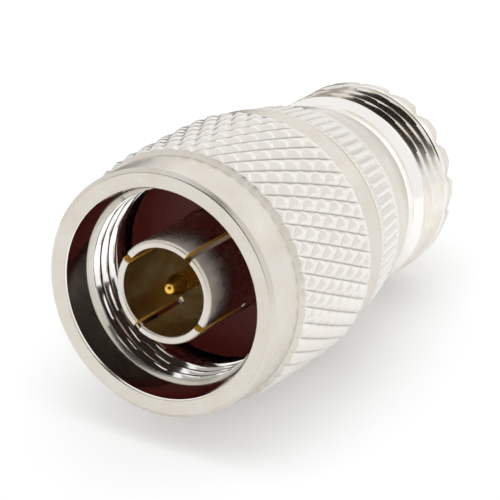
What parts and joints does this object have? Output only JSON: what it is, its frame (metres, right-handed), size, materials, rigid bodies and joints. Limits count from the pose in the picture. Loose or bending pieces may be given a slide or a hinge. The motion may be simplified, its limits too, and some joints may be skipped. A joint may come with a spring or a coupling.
{
  "type": "coax adapter",
  "caption": "Coaxial adapter: knurled screw nut round a slotted plug contact and gold pin at one end, threaded jack with a toothed rim and centre socket at the other.",
  "frame": {"origin": "centre of the coupling nut's front rim, on the plane that the adapter stands on", "axes": "+Z along the common axis from the plug end to the jack's toothed rim; +X lies on one side of the nut, with the sleeve's slots at about 46 degrees to it"},
  "size_m": [0.0204, 0.0204, 0.0328],
  "materials": {
    "nickel": "warm satin nickel plate",
    "gasket": "dark red silicone",
    "insulator": "waxy white",
    "gold": "bright gold plate"
  },
  "bodies": {
    "adapter": {"adapter_body": "nickel", "outer_contact": "nickel", "front_insulator": "insulator", "rear_insulator": "insulator", "centre_contact": "gold", "gasket": "gasket", "retaining_ring": "nickel"},
    "nut": {"coupling_nut": "nickel"}
  },
  "joints": [
    {"name": "nut_spin", "type": "hinge", "parent": "adapter", "child": "nut", "pos_m": [0, 0, 0.0135], "axis": [0, 0, 1], "continuous": true}
  ]
}
